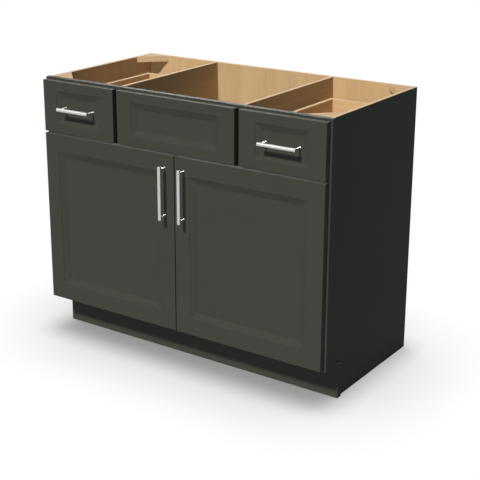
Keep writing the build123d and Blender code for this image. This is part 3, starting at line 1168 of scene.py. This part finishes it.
@dataclass(frozen=True)
class Studio:
    """The floor, the light and the camera."""

    azimuth: float = 34.977
    elevation: float = 17.753
    eye: tuple[float, float, float] = (2.0405, -2.9108, 1.5929)
    lens_mm: float = 85.868
    sensor_mm: float = 36.0
    shift: Span = (0.03221, -0.06168)
    view_end: float = 100.0
    lamps: tuple[Lamp, ...] = (
        Lamp("key_light", -1.5, 46.0, 3.40, 4.5),
        Lamp("front_light", -1.5, 46.0, 0.38, 20.0, shadow=False),
        Lamp("back_light", 222.0, 3.0, 1.5, 5.0, shows=Shows.MATT),
        Lamp("fill_light", 35.0, 18.0, 0.3, 20.0, shadow=False, colour=(0.75, 1.0, 1.35)),
        Lamp("rim_light", 216.0, 18.0, 1.0, 13.0, shadow=False, shows=Shows.SHINY),
        Lamp("back_card", 170.0, 34.0, 1.8, 9.0, shadow=False, shows=Shows.SHINY),
        Lamp("left_card", -55.0, 44.0, 0.3, 20.0, shadow=False, shows=Shows.SHINY),
    )
    fill: Colour = (0.054, 0.060, 0.070)
    floor_bounce: Colour = (0.415, 0.440, 0.470)
    floor_reach: float = 40.0
    # The floor's painted shade: how far occlusion reaches, and the least strength of the glow where it is
    # darkest.
    shade_reach: float = 0.36
    shade_least: float = 0.40
    # A painted shadow under the closed cabinet's plan: its depth, and how far it reaches past the plan and
    # blurs.
    painted_plan_shade: float = 0.44
    plan_margin: float = 16 * MM
    plan_blur: float = 75 * MM

    def build(self) -> None:
        """Set the world, the floor, the lamps and the camera."""
        bpy.context.scene.view_settings.view_transform = "Standard"
        self.world()
        self.floor()
        for lamp in self.lamps:
            lamp.hang()
        self.camera()

    @staticmethod
    def seen(graph: Graph) -> Socket:
        """Mark the rays that show the background: straight, mirrored or through glass.

        Args:
            graph: The node tree.

        Returns:
            1 for those rays and 0 for others.
        """
        path = graph.node("ShaderNodeLightPath")
        mirrored = graph.math("MAXIMUM", path.outputs["Is Camera Ray"], path.outputs["Is Glossy Ray"])
        return graph.math("MAXIMUM", mirrored, path.outputs["Is Transmission Ray"])

    def world(self) -> None:
        """Make a world that shows white and lights softly."""
        world = bpy.data.worlds.new("studio_world")
        world.use_nodes = True
        graph = Graph(world.node_tree)
        colour = graph.blend(self.seen(graph), self.fill, WHITE)
        sky = graph.node("ShaderNodeBackground", {"Color": colour, "Strength": 1.0})
        graph.node("ShaderNodeOutputWorld", {"Surface": sky.outputs["Background"]})
        bpy.context.scene.world = world

    def cover(self, graph: Graph) -> Socket:
        """Return how far a place on the floor lies under the closed cabinet, which sets the floor's painted
        plan shade.

        Args:
            graph: The floor's node tree.

        Returns:
            The cover, which fades from 1 to 0 across the edges of the plan.
        """
        low, high = CAD_BOX
        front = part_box(Hand.RIGHT.node("door_stiles"))[0].y
        fades = []
        for axis, start, end in ((Axis.X, low[0], high[0]), (Axis.Y, front, high[1])):
            edge = (end - start) / 2 + self.plan_margin
            off = graph.math("SUBTRACT", graph.along("Object", axis), (start + end) / 2)
            limits = (edge - self.plan_blur, edge + self.plan_blur)
            fades.append(graph.eased(graph.math("ABSOLUTE", off), *limits, 1.0, 0.0))
        return graph.math("MULTIPLY", *fades)

    def floor(self) -> None:
        """Lay a white floor whose glow carries a painted soft shade of the object."""
        shape = bmesh.new()
        bmesh.ops.create_grid(shape, x_segments=1, y_segments=1, size=self.floor_reach / 2)
        material = bpy.data.materials.new("studio_floor")
        material.use_nodes = True
        graph = Graph(material.node_tree)
        matt = graph.node("ShaderNodeBsdfDiffuse", {"Color": (*self.floor_bounce, 1.0)})
        # Painted shade: the floor's glow is darkened near the object by its occlusion, and under the closed
        # cabinet's plan.
        shade = graph.node("ShaderNodeAmbientOcclusion", {"Distance": self.shade_reach}, samples=16)
        painted_occlusion_shade = graph.ranged(shade.outputs["AO"], self.shade_least, 1.0)
        under = graph.ranged(self.cover(graph), 1.0, 1.0 - self.painted_plan_shade)
        glow = graph.node("ShaderNodeEmission", {"Strength": graph.math("MULTIPLY", painted_occlusion_shade, under)})
        pair = {1: matt.outputs["BSDF"], 2: glow.outputs["Emission"]}
        shown = graph.node("ShaderNodeMixShader", {0: self.seen(graph), **pair})
        graph.node("ShaderNodeOutputMaterial", {"Surface": shown.outputs["Shader"]})
        finished("studio_floor", shape, material)

    def camera(self) -> None:
        """Set the camera where the photograph was taken from."""
        data = bpy.data.cameras.new("camera")
        data.lens = self.lens_mm
        data.sensor_width = self.sensor_mm
        data.shift_x, data.shift_y = self.shift
        data.clip_end = self.view_end
        back = bearing(self.azimuth, self.elevation)
        right = Axis.Z.vector.cross(back).normalized()
        turn = Matrix((right, back.cross(right), back)).transposed()
        holder = bpy.data.objects.new("camera", data)
        holder.matrix_world = Matrix.Translation(self.eye) @ turn.to_4x4()
        bpy.context.scene.collection.objects.link(holder)
        bpy.context.scene.camera = holder


def main() -> None:
    """Dress every sub-assembly and set the studio."""
    logging.basicConfig(level=logging.INFO, format="%(name)s: %(message)s")
    palette = Palette()
    screws = HeadSet("screw_heads", diameter=8 * MM, height=1.9 * MM, recess=4.2 * MM)
    Carcass(palette, screws).dress()
    for hand in Hand:
        Door(palette, screws, hand=hand).dress()
        Drawer(palette, screws, hand=hand).dress()
    Studio().build()


if __name__ == "__main__":
    main()
